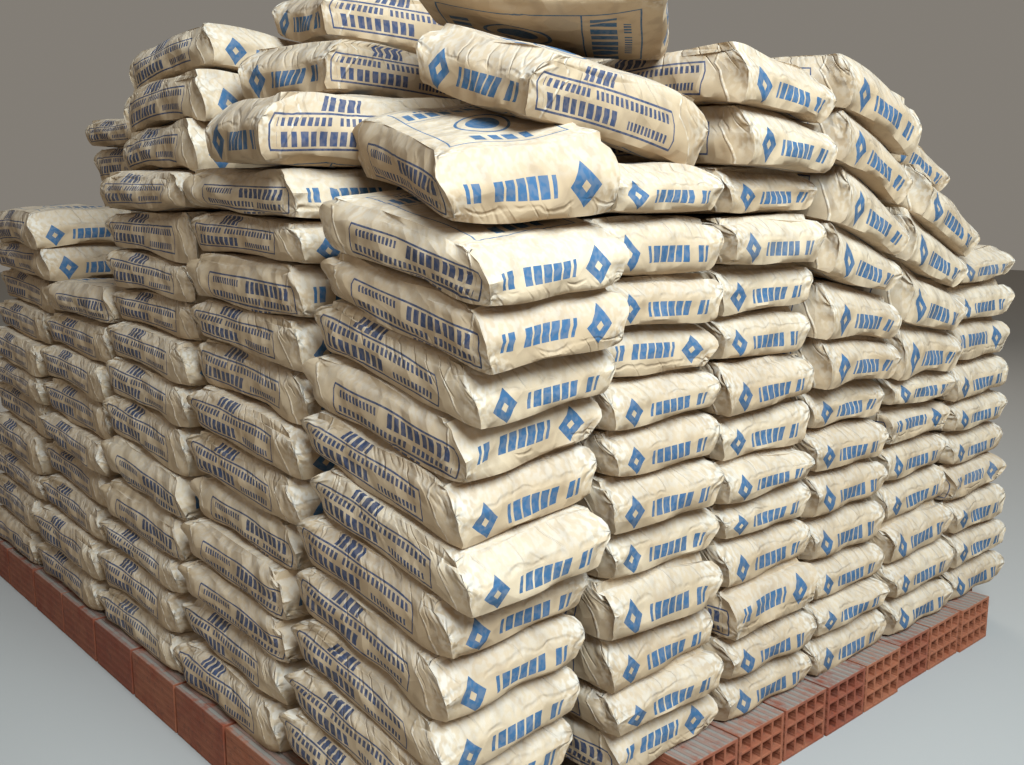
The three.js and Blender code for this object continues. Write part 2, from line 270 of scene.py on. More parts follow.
def write_print_map(sack):
    data = sack.data
    layer = data.uv_layers.new(name=PRINT_MAP)
    for face in data.polygons:
        corners = NET_POINTS[list(face.vertices)]
        normal = np.cross(corners[1] - corners[0], corners[2] - corners[0])
        panel = panel_of(normal)
        for loop, corner in zip(face.loop_indices, corners):
            u, v = place_on_panel(panel, corner)
            layer.data[loop].uv = (PANELS[panel] + u, v)


write_print_map(flat_sack)
print("print map on", len(flat_sack.data.polygons), "faces")

# %% [markdown]
# ## Filling the sacks
# Real sacks get their folds from the powder that pushes out and the sacks that press from above
# and below. The folds could be sculpted, but Blender's cloth finds them in the same way: a light
# pressure inside, a plate under the sack and one over it, and paper that is a few percent too
# large, so that it buckles. Each run starts from a slightly different net, so each gives another
# sack. A sack on top of the stack has no plate over it. The gravity is off, because the plates hold
# the sack.

# %% Plates, and a start for each sack
PLATE_SIZE, PLATE_GAP, PLATE_FRICTION, SKIN = 2, 0.004, 20, 0.002
START_SIZE = (0.985, 0.98, 0.94)
FACE_DENT, SIDE_DENT, ON_FACE = 0.005, 0.004, 1e-4
DENT_WAVES = (17, 23, 31, 60, 27, 60)


def add_plate(side):
    clear_selection()
    height = side * (SACK_THICK / 2 + PLATE_GAP)
    turn = 0 if side < 0 else math.pi
    bpy.ops.mesh.primitive_plane_add(size=PLATE_SIZE, location=(0, 0, height), rotation=(turn, 0, 0))
    plate = bpy.context.object
    bpy.ops.object.modifier_add(type="COLLISION")
    plate.collision.thickness_outer = SKIN
    plate.collision.cloth_friction = PLATE_FRICTION
    return plate


def dent(points, seed):
    starts = np.random.default_rng(seed).uniform(0, 2 * math.pi, len(DENT_WAVES))
    x, y, z = points.T
    waves = [np.sin(a * count + start) for a, count, start in zip((x, y, y, z, x, z), DENT_WAVES, starts)]
    flat = np.abs(NET_POINTS[:, 2]) > SACK_THICK / 2 - ON_FACE
    dented = points.copy()
    dented[:, 2] += FACE_DENT * flat * waves[0] * waves[1]
    dented[:, 0] += SIDE_DENT * waves[2] * waves[3]
    dented[:, 1] += SIDE_DENT * waves[4] * waves[5]
    return dented


# %% The seed, pressure, slack and stiffness of each sack
RECIPES = {
    "pressed_1": (11, 2.0, 0.030, 0.30),
    "pressed_2": (12, 2.4, 0.035, 0.15),
    "pressed_3": (13, 1.6, 0.045, 0.10),
    "pressed_4": (14, 2.0, 0.040, 0.20),
    "free_1": (21, 1.2, 0.030, 0.30),
    "free_2": (22, 1.0, 0.040, 0.20),
}
pressed = [name for name in RECIPES if name.startswith("pressed")]
free = [name for name in RECIPES if name.startswith("free")]
print("sacks under a plate", pressed, "and without one", free)

# %% Paper as cloth
SACK_CLOTH = {
    "quality": 5,
    "mass": 0.15,
    "tension_stiffness": 80,
    "compression_stiffness": 80,
    "shear_stiffness": 40,
    "tension_damping": 10,
    "compression_damping": 10,
    "shear_damping": 10,
    "air_damping": 2,
    "use_pressure": True,
}


def add_cloth(sack, pressure, slack, stiffness):
    pick(sack)
    bpy.ops.object.modifier_add(type="CLOTH")
    cloth = sack.modifiers[-1]
    for name, value in SACK_CLOTH.items():
        setattr(cloth.settings, name, value)
    cloth.settings.bending_stiffness = stiffness
    cloth.settings.uniform_pressure_force = pressure
    cloth.settings.shrink_min = -slack
    cloth.settings.effector_weights.gravity = 0
    cloth.collision_settings.use_self_collision = False
    cloth.collision_settings.distance_min = SKIN
    return cloth


# %% [markdown]
# ## From the simulation to a sack
# The cloth swells evenly as well as folding, and a real stack has no room for that. So most of the
# even bulge is taken off again and the folds stay. The corners then get what the net is too coarse
# for, a slanted facet and a small ear. At the end each sack is scaled to a box from -1 to 1, so
# that it can be laid in any place.

# %% Take off the even bulge
EVEN_BULGE_TAKEN, BULGE_SHARPNESS = 0.85, 8


def even_bulge(axis):
    share = NET_POINTS / (SACK_LENGTH / 2, SACK_WIDTH / 2, SACK_THICK / 2)
    crown = np.sign(share[:, axis]) * np.abs(share[:, axis]) ** BULGE_SHARPNESS
    return crown * (1 - share[:, 1 - axis] ** 2) * (1 - share[:, 2] ** 2)


def take_off_bulge(moved):
    flatter = moved.copy()
    for axis in (0, 1):
        bulge = even_bulge(axis)
        amount = (bulge @ moved[:, axis]) / (bulge @ bulge)
        flatter[:, axis] -= EVEN_BULGE_TAKEN * amount * bulge
    return flatter


# %% Fill one sack
FRAMES = 22
MOST_MOVE, TINY = 0.022, 1e-9


def fill_sack(name):
    seed, *paper_values = RECIPES[name]
    sack = copy_of(flat_sack, name)
    start = dent(points_of(sack) * START_SIZE, seed)
    put_points(sack, start)
    plates = [add_plate(side) for side in ((-1, 1) if name in pressed else (-1,))]
    cloth = add_cloth(sack, *paper_values)
    for step in range(1, FRAMES + 1):
        bpy.context.scene.frame_set(step)
    bpy.ops.object.modifier_apply(modifier=cloth.name)
    moved = take_off_bulge(points_of(sack) - start)
    far = np.linalg.norm(moved, axis=1, keepdims=True)
    put_points(sack, start + moved * np.minimum(1, MOST_MOVE / np.maximum(far, TINY)))
    for plate in plates:
        bpy.data.objects.remove(plate)
    bpy.context.scene.frame_set(1)
    return sack


# %% Fold the corners
FACET_REACH = ([0, 0.65, 1], [0.035, 0.095, 0.060])
FACET_DEPTH, FACET_SHARPNESS = 0.009, 4
EAR_HEIGHT, EAR_SIZE, EAR_SHARPNESS, EAR_SQUASH = 0.18, 0.045, 1.3, 0.8
EAR_PULL = (0.006, 0.010, 0.003)


def fold_corners(points):
    x, y, z = NET_POINTS.T
    aside_x, aside_y = np.sign(x), np.sign(y)
    to_end = SACK_LENGTH / 2 - np.abs(x)
    level = z / SACK_THICK + 0.5
    facet = np.maximum(0, 1 - to_end / np.interp(level, *FACET_REACH))
    across = np.clip(np.abs(y) / (SACK_WIDTH / 2), 0, 1) ** FACET_SHARPNESS
    above_ear = z - SACK_THICK * EAR_HEIGHT
    away = np.stack([to_end, SACK_WIDTH / 2 - np.abs(y), above_ear * EAR_SQUASH], 1)
    ear = np.maximum(0, 1 - np.linalg.norm(away, axis=1) / EAR_SIZE) ** EAR_SHARPNESS
    folded = points.copy()
    folded[:, 0] += aside_x * ear * EAR_PULL[0]
    folded[:, 1] += aside_y * (ear * EAR_PULL[1] - facet * FACET_DEPTH * across)
    folded[:, 2] += ear * EAR_PULL[2]
    return folded


# %% Scale each sack to a unit box
UNDERSIDE_PRESS, PRESS_SHARPNESS = 0.14, (4, 3)
STRAY_SHARE = 0.002


def nearness_to_edge(points, sharpness):
    return np.maximum(np.abs(points[:, 0]) ** sharpness[0], np.abs(points[:, 1]) ** sharpness[1])


def to_unit(sack, name):
    points = fold_corners(points_of(sack))
    low = np.quantile(points, STRAY_SHARE, axis=0)
    high = np.quantile(points, 1 - STRAY_SHARE, axis=0)
    middle = (low + high) / 2
    points = (points - middle) / (high - low) * 2
    if name in free:
        level = NET_POINTS[:, 2] / SACK_THICK + 0.5
        edge = np.minimum(nearness_to_edge(points, PRESS_SHARPNESS), 1)
        points[:, 2] -= UNDERSIDE_PRESS * (1 - level) ** 2 * edge
    put_points(sack, points)


shapes = {name: fill_sack(name) for name in RECIPES}
for name, shape in shapes.items():
    size = points_of(shape).max(0) - points_of(shape).min(0)
    to_unit(shape, name)
    print(name, "measures", np.round(size * 1000), "mm before it is fitted")

# %% [markdown]
# ## Fewer faces where nothing shows
# Most of a sack is hidden by its neighbours, and a stack of whole sacks would be too heavy. The
# hidden faces could be deleted, but that leaves holes. So the faces that show keep their fine net,
# and the hidden ones are thinned out with the decimate operator, which works on the selected faces
# only. Each shape is thinned once for each set of sides that shows, and then only copied.

# %% Thin out the hidden faces
SHOWN_MARGIN, SHOWN_DEPTH = 0.075, 0.01
HIDDEN_SHARE = 0.05
thinned = {}


def shown_faces(sides):
    x, y, z = NET_POINTS.T
    edges = {
        "right": x > SACK_LENGTH / 2 - SHOWN_MARGIN,
        "left": x < -SACK_LENGTH / 2 + SHOWN_MARGIN,
        "near": y < -SACK_WIDTH / 2 + SHOWN_MARGIN,
        "far": y > SACK_WIDTH / 2 - SHOWN_MARGIN,
        "top": z > -SHOWN_DEPTH,
    }
    shown = np.zeros(len(NET_POINTS), bool)
    for side in sides:
        shown |= edges[side]
    return shown


def thin_out(shape_name, sides):
    key = (shape_name, tuple(sorted(sides)))
    if key in thinned:
        return thinned[key]
    sack = copy_of(shapes[shape_name], "_".join((shape_name, *key[1])))
    pick(sack)
    bpy.ops.object.mode_set(mode="EDIT")
    bpy.ops.mesh.select_mode(type="VERT")
    bpy.ops.object.mode_set(mode="OBJECT")
    sack.data.vertices.foreach_set("select", ~shown_faces(sides))
    sack.data.update()
    bpy.ops.object.mode_set(mode="EDIT")
    bpy.ops.mesh.decimate(ratio=HIDDEN_SHARE)
    bpy.ops.object.mode_set(mode="OBJECT")
    thinned[key] = sack
    print(sack.name, len(sack.data.polygons), "faces of", len(NET_POINTS) - 2)
    return sack


# %% [markdown]
# ## Laying a sack in its place
# Two sacks that lie on each other share one seam. A copy could simply be moved to its place, but in
# a real stack no seam is level: the columns settle differently, the sacks of the near row lean to
# the corner, and each sack droops at its edges. So a sack is laid between two curved surfaces. Both
# the sack under a seam and the sack over it follow the same surface, and no gap opens.

# %% The seams between the layers
COLUMN_SETTLE, SETTLE_STEP = 0.018, 0.7
SEAM_WAVE, SEAM_TILT, ROW_LEAN = 0.004, 0.009, 0.022
SLOW_X, SLOW_Y, SLOW_STEP, SLOW_SWAY = 4.7, 3.1, 1.7, 0.8
QUICK_X, QUICK_Y, QUICK_STEP, QUICK_SHARE = 7.7, 9.3, 2.9, 0.6


def settle_of(i, j, level):
    height = HEIGHTS[i][j]
    if level <= 0 or level >= height:
        return 0
    rise = math.sin(math.pi * level / height)
    start = wobble(i, j, 0, SETTLE_DRAW) * 2 * math.pi
    return COLUMN_SETTLE * rise * math.sin(start + level * SETTLE_STEP)


def seam_tilt(i, j, level, x, y):
    middle_x = RIGHT - END_SETBACK - i * PITCH_X - SACK_LENGTH / 2
    middle_y = FRONT + SIDE_SETBACK + SIDE_BATTER + j * PITCH_Y + SACK_WIDTH / 2
    to_end = (x - middle_x) / (SACK_LENGTH / 2)
    to_side = (y - middle_y) / (SACK_WIDTH / 2)
    leaning = math.sin(math.pi * min(level / HEIGHTS[i][j], 1)) * (i > 0 and j == 0)
    tilt = spread(i, j, level, TILT_X_DRAW) * to_end + spread(i, j, level, TILT_Y_DRAW) * to_side
    return SEAM_TILT / JITTER * tilt - ROW_LEAN * leaning * to_end


def seam_height(i, j, level, x, y):
    base = BRICK_HEIGHT + SEAM + level * SACK_THICK
    if level == 0:
        return np.full_like(x, base)
    base = base + seam_tilt(i, j, level, x, y)
    slow = np.sin(x * SLOW_X + level * SLOW_STEP + SLOW_SWAY * np.sin(y * SLOW_Y + level))
    quick = np.sin(y * QUICK_Y + level * QUICK_STEP + np.sin(x * QUICK_X - level))
    return base + settle_of(i, j, level) + SEAM_WAVE * (slow + QUICK_SHARE * quick)


# %% Give a sack its own tone, ink and print
LOOK = "sack_look"
UV_ROUNDING = 1e-5
TURNED_TOP = 0.092


def mark_look(piece, tone, ink, seed):
    data = piece.data
    look = data.attributes.new(LOOK, "FLOAT_VECTOR", "POINT")
    values = np.tile((tone, ink, seed), (len(data.vertices), 1)).astype(np.float32)
    look.data.foreach_set("vector", values.ravel())


def turn_print(sack):
    layer = sack.data.uv_layers[PRINT_MAP]
    flat = np.empty(len(layer.data) * 2, np.float32)
    layer.data.foreach_get("uv", flat)
    uv = flat.reshape(-1, 2)
    panel = np.floor(uv[:, 0] + UV_ROUNDING)
    length = np.where((panel == PANELS["right"]) | (panel == PANELS["left"]), SACK_WIDTH, SACK_LENGTH)
    uv[:, 0] = panel + length - (uv[:, 0] - panel)
    upright = panel >= PANELS["right"]
    uv[:, 1] = np.where(upright, TURNED_TOP - uv[:, 1], SACK_WIDTH - uv[:, 1])
    layer.data.foreach_set("uv", uv.ravel())


def finish_sack(sack, number, upside_down):
    if upside_down:
        turn_print(sack)
    mark_look(sack, *[wobble(*number, draw) for draw in LOOK_DRAWS])


# %% Put one copy of a sack between two seams
EDGE_DROOP, UNDER_DROOP, DROOP_SHARPNESS = 0.007, 0.6, (6, 4)


def lay_between(sack, faces, low, high, turn, reversed_ends):
    right, left, near, far = faces
    unit = points_of(sack)
    if reversed_ends:
        unit[:, :2] *= -1
    x = unit[:, 0] * (right - left) / 2
    y = unit[:, 1] * (far - near) / 2
    px = (right + left) / 2 + x * math.cos(turn) - y * math.sin(turn)
    py = (near + far) / 2 + x * math.sin(turn) + y * math.cos(turn)
    share = (unit[:, 2] + 1) / 2
    droop = EDGE_DROOP * nearness_to_edge(unit, DROOP_SHARPNESS)
    bottom, top = low(px, py) - droop * UNDER_DROOP, high(px, py) - droop
    put_points(sack, np.stack([px, py, bottom + (top - bottom) * share], 1))


# %% [markdown]
# ## The layers
# Each layer of the stack becomes one piece that stands for that layer's solid. Its sacks are
# copies of the simulated shapes. Instances would be lighter, but each copy is bent in its own way.
# A sack that has nothing on it uses a free shape, and swells a little in the middle. Some sacks
# lie the other way round, so that their print reads upside down.

# %% Choose a shape and lay it in the grid
UPSIDE_DOWN_SHARE = 0.12
STAND_OUT, MOST_TURN = 0.020, 0.018
FLAT_TOP_RISE = 0.010
UPSIDE_DOWN = {(0, 1, 0), (0, 5, 3), (0, 5, 7)}
NEIGHBOURS = {
    "right": (-1, 0, 0),
    "left": (1, 0, 0),
    "near": (0, -1, 0),
    "far": (0, 1, 0),
    "top": (0, 0, 1),
}
OPPOSITE = {"right": "left", "left": "right", "near": "far", "far": "near", "top": "top"}


def open_sides(i, j, layer):
    return [side for side, (a, b, c) in NEIGHBOURS.items() if not present(i + a, j + b, layer + c)]


def choose_sack(number, names, sides, name):
    reversed_ends = wobble(*number, REVERSED_DRAW) > 0.5
    shape = names[int(wobble(*number, SHAPE_DRAW) * len(names))]
    shown = [OPPOSITE[side] for side in sides] if reversed_ends else sides
    return copy_of(thin_out(shape, shown), name), reversed_ends


def grid_sack(i, j, layer):
    number = (i, j, layer)
    sides = open_sides(*number)
    names = free if "top" in sides else pressed
    sack, reversed_ends = choose_sack(number, names, sides, f"sack_{i}_{j}_{layer}")
    swell = FLAT_TOP_RISE if "top" in sides else 0
    right, left, near, far = cell_faces(*number)
    right += STAND_OUT * wobble(*number, OUT_X_DRAW) * ("right" in sides)
    near -= STAND_OUT * wobble(*number, OUT_Y_DRAW) * ("near" in sides)
    middle = ((right + left) / 2, (near + far) / 2)

    def low(x, y):
        return seam_height(i, j, layer, x, y) + SEAM / 2

    def high(x, y):
        along = 1 - np.minimum(1, ((x - middle[0]) / (SACK_LENGTH / 2)) ** 2)
        across = 1 - np.minimum(1, ((y - middle[1]) / (SACK_WIDTH / 2)) ** 2)
        return seam_height(i, j, layer + 1, x, y) - SEAM / 2 + swell * along * across

    turn = (wobble(*number, TURN_DRAW) * 2 - 1) * MOST_TURN
    lay_between(sack, (right, left, near, far), low, high, turn, reversed_ends)
    by_chance = wobble(*number, UPSIDE_DOWN_DRAW) < UPSIDE_DOWN_SHARE
    finish_sack(sack, number, by_chance or number in UPSIDE_DOWN)
    return sack


# %% Build every layer
layer_pieces = []
for layer in range(LAYERS):
    sacks = [
        grid_sack(i, j, layer)
        for i in range(len(HEIGHTS))
        for j in range(len(HEIGHTS[0]))
        if present(i, j, layer)
    ]
    piece = join_as(f"layer_of_sacks_{layer + 1:02d}", sacks)
    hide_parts(f"sack_layer_{layer + 1:02d}")
    layer_pieces.append(piece)
    print(piece.name, len(sacks), "sacks", len(piece.data.polygons), "faces")

# %% [markdown]
# ## The sagging corner
# The corner column stands half off its bricks, so its sacks slope down to the right and each lies
# a little steeper than the one under it. They roll a little to the near side too. Turning each sack
# would open wedges between them, so they are laid between seams that slope. How far each sack
# reaches out is given in millimetres.

# %% Where the corner column lies
CORNER_SACKS = 11
CORNER_RIGHT, CORNER_LENGTH = RIGHT - 0.080, 0.585
CORNER_BRICK_END = 1.230
CORNER_FALL, CORNER_FALL_STEP = 0.076, 0.0045
CORNER_ROLL, ROLLED_SACKS = 0.085, 4
CORNER_MIDDLE_Y = FRONT + SIDE_SETBACK + SIDE_BATTER + SACK_WIDTH / 2
CORNER_WAVE, CORNER_WAVE_X, CORNER_WAVE_Y = 0.004, (8, 2.1), (9, 1.3)
CORNER_MOST_TURN = 0.015
CORNER_REACH = [-20, -10, 0, 0, -6, 44, -13, -18, 14, 50, 47]
CORNER_UPSIDE_DOWN = {8, 10, 11}
CORNER_NUMBER, ASKEW_NUMBER = (9, 0), (7, 0)


# %% The corner's seams
def corner_share(x):
    return (x - CORNER_RIGHT + CORNER_LENGTH) / CORNER_LENGTH


def corner_level(count, x):
    first = BRICK_HEIGHT + SEAM + CORNER_FALL * corner_share(CORNER_BRICK_END)
    high = first + (SACK_THICK + CORNER_FALL_STEP) * count
    return high - (CORNER_FALL + CORNER_FALL_STEP * count) * corner_share(x)


def corner_seam(count, x, y):
    roll = CORNER_ROLL * min(count / ROLLED_SACKS, 1) * (y - CORNER_MIDDLE_Y)
    wave_x = CORNER_WAVE * np.sin(x * CORNER_WAVE_X[0] + count * CORNER_WAVE_X[1])
    wave_y = CORNER_WAVE * np.sin(y * CORNER_WAVE_Y[0] + count * CORNER_WAVE_Y[1])
    return corner_level(count, x) + roll + (wave_x + wave_y if 0 < count <= CORNER_SACKS else 0)


# %% Lay the corner column
def corner_sack(n):
    right = CORNER_RIGHT + CORNER_REACH[n] / 1000
    near = FRONT + SIDE_SETBACK + SIDE_BATTER * batter(n)
    number = (*CORNER_NUMBER, n)
    sides = ["right", "near", "left"] + (["top", "far"] if n == CORNER_SACKS - 1 else [])
    sack, reversed_ends = choose_sack(number, pressed, sides, f"sagging_sack_{n + 1:02d}")

    def low(x, y):
        return corner_seam(n, x, y) + SEAM / 2

    def high(x, y):
        return corner_seam(n + 1, x, y) - SEAM / 2

    turn = (wobble(*number, TURN_DRAW) * 2 - 1) * CORNER_MOST_TURN
    faces = (right, right - CORNER_LENGTH, near, near + SACK_WIDTH)
    lay_between(sack, faces, low, high, turn, reversed_ends)
    finish_sack(sack, number, n + 1 in CORNER_UPSIDE_DOWN)
    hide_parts(f"corner_sack_{n + 1:02d}")
    return sack


single_pieces = [corner_sack(n) for n in range(CORNER_SACKS)]
print("sagging sacks", len(single_pieces))

# %% [markdown]
# ## The sacks that lie askew
# On top lie sacks that were thrown down or have slid. Each lies in its solid's place: its middle is
# the middle of the solid's box, and its turn is about the one that it was given there. A filled
# sack is soft, so it bends over what carries it. Another simulation could do this, but it is slow
# and hard to steer. Instead, rays cast down from the underside measure the gaps, and a curved sheet
# with six numbers, fitted to the gaps, lowers and bends the underside. The top follows by a third,
# so the sack fills the gap and keeps most of its height.

# %% Bend a sack over what carries it
CAST_HEIGHT, CAST_REACH, CAST_EDGE, CAST_STEPS = 0.10, 0.26, 0.88, 8
MOST_DROP, MOST_RISE = 0.120, 0.050
OVERHANG_DROP = 0.050
BEND_STIFFNESS = (0, 0.3, 0.3, 1.2, 1.2, 1.2)
TOP_HELD = 0.65
LOOSE_WEIGHT, PRESSED_SHARE, DEEPEST_PRESS = 0.25, 0.9, 0.015


def tree_of(piece):
    return BVHTree.FromObject(piece, bpy.context.evaluated_depsgraph_get())


def bend_terms(u, v):
    return np.stack([np.ones_like(u), u, v, u * u, v * v, u * v], 1)


def height_under(point, carriers):
    start = Vector((point[0], point[1], point[2] + CAST_HEIGHT))
    hits = [tree.ray_cast(start, Vector((0, 0, -1)), CAST_REACH)[0] for tree in carriers]
    return max((hit.z for hit in hits if hit is not None), default=None)


def bend_over(place_on_sack, carriers):
    steps = np.linspace(-CAST_EDGE, CAST_EDGE, CAST_STEPS)
    u, v = [grid.ravel() for grid in np.meshgrid(steps, steps)]
    drops, weights = [], []
    for point in place_on_sack(u, v):
        under = height_under(point, carriers)
        carried = under is not None
        drops.append(np.clip(under - point[2], -MOST_DROP, MOST_RISE) if carried else -OVERHANG_DROP)
        weights.append(1.0 if carried and point[2] - under < MOST_DROP else LOOSE_WEIGHT)
    terms, drops, weights = bend_terms(u, v), np.array(drops), np.sqrt(weights)
    system = np.vstack([terms * weights[:, None], np.diag(BEND_STIFFNESS)])
    bend = np.linalg.lstsq(system, np.append(drops * weights, np.zeros(6)), rcond=None)[0]
    pressed_in = np.quantile(drops - terms @ bend, PRESSED_SHARE)
    bend[0] += max(0, pressed_in - DEEPEST_PRESS)
    return bend


# %% The turn, roll and slope of each askew sack, in degrees
ASKEW = {
    "corner_sack_12": (-16, 12, 14),
    "row_5_sack_a": (0, -14, 0),
    "row_5_sack_b": (0, -22, 0),
    "row_5_sack_c": (0, -26, 0),
    "row_5_sack_d": (0, -29, 0),
    "row_4_sack_a": (0, -10, 0),
    "row_4_sack_b": (0, -14, 0),
    "row_4_sack_c": (0, -25, 0),
    "row_4_sack_d": (0, -30, 0),
    "row_4_sack_e": (0, -25, 0),
    "row_4_sack_f": (-1, -14, 0),
    "row_5_sack_e": (-1, -24, 0),
    "row_3_sack_a": (1, -8, 0),
    "row_3_sack_b": (0, -11, 0),
    "side_sack_a": (82, -1, -1),
    "side_sack_b": (95, 3, 2),
    "side_sack_c": (-4, -1, -4),
    "side_sack_d": (-2, -3, -3),
    "side_sack_e": (-1, -5, -3),
    "long_sack": (92, 16, 5),
    "top_sack_a": (40, -14, 4),
    "top_sack_b": (80, 3, 2),
    "end_sack": (-4, 2, 1),
}
ASKEW_UPSIDE_DOWN = {"corner_sack_12"}
print("askew sacks", len(ASKEW))

# %% Lay the askew sacks
def askew_sack(node, order, carriers):
    turn, roll, slope = ASKEW[node]
    low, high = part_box(node)
    number = (*ASKEW_NUMBER, order)
    sack = copy_of(thin_out(free[order % len(free)], list(NEIGHBOURS)), "askew_" + node)
    unit = points_of(sack)
    if wobble(*number, REVERSED_DRAW) > 0.5:
        unit[:, :2] *= -1
    points = unit * (SACK_LENGTH / 2, SACK_WIDTH / 2, SACK_THICK / 2)
    along, across = 1 - unit[:, 0] ** 2, 1 - unit[:, 1] ** 2
    points[:, 2] += FLAT_TOP_RISE * np.clip(along * across, 0, 1) * (unit[:, 2] > 0)
    angles = Euler([math.radians(a) for a in (roll, slope, turn)], "XYZ")
    turned = np.array(angles.to_matrix()).T
    middle = np.array((low + high) / 2)

    def underside(u, v):
        depth = np.full_like(u, -SACK_THICK / 2)
        return np.stack([u * SACK_LENGTH / 2, v * SACK_WIDTH / 2, depth], 1) @ turned + middle

    bend = bend_over(underside, carriers)
    points = points @ turned + middle
    lowered = bend_terms(*np.clip(unit[:, :2], -1, 1).T) @ bend
    points[:, 2] += lowered * (1 - TOP_HELD * np.clip((unit[:, 2] + 1) / 2, 0, 1))
    put_points(sack, points)
    print(node, "is bent by", np.round(bend * 1000), "mm")
    finish_sack(sack, number, node in ASKEW_UPSIDE_DOWN)
    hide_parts(node)
    carriers.append(tree_of(sack))
    return sack


LOWEST_CARRIER = 6
lower = [tree_of(piece) for piece in layer_pieces[LOWEST_CARRIER:] + single_pieces[-2:]]
single_pieces += [askew_sack(node, order, lower) for order, node in enumerate(ASKEW)]
print("single sacks", len(single_pieces))

for shape in [*shapes.values(), *thinned.values(), flat_sack]:
    bpy.data.objects.remove(shape)

# %% [markdown]
# ## The bricks
# A hollow brick is pushed through a die, so it has one section all along: a shell, webs and twelve
# cells. Boxes could be cut out of a block, but the section is simpler and leaves clean faces. A
# plane is bisected at the walls, the faces of the cells are deleted, the rest is extruded to the
# brick's length, and a bevel takes the edges off.

# %% The walls of a brick
BRICK_LENGTH, BRICK_WIDTH = 0.300, 0.200
SHELL, WEB = 0.010, 0.008
CELLS_WIDE, CELLS_HIGH = 4, 3


def wall_lines(size, cells):
    cell = (size - 2 * SHELL - (cells - 1) * WEB) / cells
    starts = [SHELL + k * (cell + WEB) for k in range(cells)]
    return [(start, start + cell) for start in starts]


def in_cell(centre):
    wide = any(a < centre.y < b for a, b in wall_lines(BRICK_WIDTH, CELLS_WIDE))
    high = any(a < centre.z < b for a, b in wall_lines(BRICK_HEIGHT, CELLS_HIGH))
    return wide and high


# %% Model one hollow brick
def model_brick(name, edge):
    clear_selection()
    bpy.ops.mesh.primitive_plane_add(size=1)
    brick = bpy.context.object
    brick.name = name
    corners = [(0, 0, 0), (0, BRICK_WIDTH, 0), (0, 0, BRICK_HEIGHT), (0, BRICK_WIDTH, BRICK_HEIGHT)]
    put_points(brick, corners)
    bpy.ops.object.mode_set(mode="EDIT")
    cut_across([v for pair in wall_lines(BRICK_WIDTH, CELLS_WIDE) for v in pair], 1)
    cut_across([v for pair in wall_lines(BRICK_HEIGHT, CELLS_HIGH) for v in pair], 2)
    bpy.ops.mesh.select_all(action="DESELECT")
    bpy.ops.mesh.select_mode(type="FACE")
    bpy.ops.object.mode_set(mode="OBJECT")
    for face in brick.data.polygons:
        face.select = in_cell(face.center)
    bpy.ops.object.mode_set(mode="EDIT")
    bpy.ops.mesh.delete(type="FACE")
    bpy.ops.mesh.select_all(action="SELECT")
    bpy.ops.mesh.extrude_region_move(TRANSFORM_OT_translate={"value": (BRICK_LENGTH, 0, 0)})
    bpy.ops.mesh.select_all(action="SELECT")
    bpy.ops.mesh.normals_make_consistent(inside=False)
    bpy.ops.object.mode_set(mode="OBJECT")
    if edge:
        bevel = brick.modifiers.new("edges", "BEVEL")
        bevel.width = edge
        bevel.segments = 1
        bevel.limit_method = "ANGLE"
        bpy.ops.object.modifier_apply(modifier=bevel.name)
    print(name, len(brick.data.polygons), "faces")
    return brick


WORN_EDGE = 0.0013
worn_brick = model_brick("worn_brick", WORN_EDGE)
hidden_brick = model_brick("hidden_brick", 0)

# %% Lay the rows of bricks
BRICK_ROWS, BRICK_JOINT = 11, 0.010
BRICK_SLACK, BRICK_TURN = 0.006, 0.012
PLACE_DRAW, ANGLE_DRAW, TONE_DRAW, INK_DRAW = 3, 4, 5, 6


def lay_row(row):
    node = f"brick_row_{row + 1:02d}"
    low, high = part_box(node)
    count = round((high.x - low.x + BRICK_JOINT) / (BRICK_LENGTH + BRICK_JOINT))
    pitch = (high.x - low.x - BRICK_LENGTH) / (count - 1)
    outer = row in (0, BRICK_ROWS - 1)
    bricks = []
    for k in range(count):
        shows = outer or k in (0, count - 1)
        brick = copy_of(worn_brick if shows else hidden_brick, f"brick_{row}_{k}")
        points = points_of(brick)
        slack = 0.0 if k == count - 1 else (wobble(row, k, 0, PLACE_DRAW) - 0.5) * BRICK_SLACK
        turn = (wobble(row, k, 0, ANGLE_DRAW) - 0.5) * BRICK_TURN
        points[:, 1] += (points[:, 0] - BRICK_LENGTH / 2) * turn
        put_points(brick, points + (low.x + k * pitch + slack, low.y, low.z))
        mark_look(brick, wobble(row, k, 0, TONE_DRAW), wobble(row, k, 0, INK_DRAW), 0)
        bricks.append(brick)
    piece = join_as(f"row_of_bricks_{row + 1:02d}", bricks)
    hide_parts(node)
    return piece


brick_pieces = [lay_row(row) for row in range(BRICK_ROWS)]
bpy.data.objects.remove(worn_brick)
bpy.data.objects.remove(hidden_brick)
print("rows of bricks", len(brick_pieces))

# %% [markdown]
# ## A short way to write node maths
# A pattern made of nodes is a formula. It could be wired by hand, one node at a time, but a formula
# reads best as one. The small class below wraps an output socket, so that plus, minus, times and
# comparisons add the maths nodes for it.

# %% Numbers that vary over a surface
def maths(operation, turned_round=False):
    def add_maths_node(self, other):
        values = (other, self) if turned_round else (self, other)
        return Field.math(operation, *values)

    return add_maths_node


class Field:
    tree = None
    __add__ = __radd__ = maths("ADD")
    __mul__ = __rmul__ = maths("MULTIPLY")
    __sub__, __rsub__ = maths("SUBTRACT"), maths("SUBTRACT", turned_round=True)
    __truediv__ = maths("DIVIDE")
    __gt__, __lt__ = maths("GREATER_THAN"), maths("LESS_THAN")

    def __init__(self, socket):
        self.socket = socket

    @staticmethod
    def math(operation, *values):
        return Field(add_node("Math", dict(enumerate(values)), operation=operation).outputs[0])


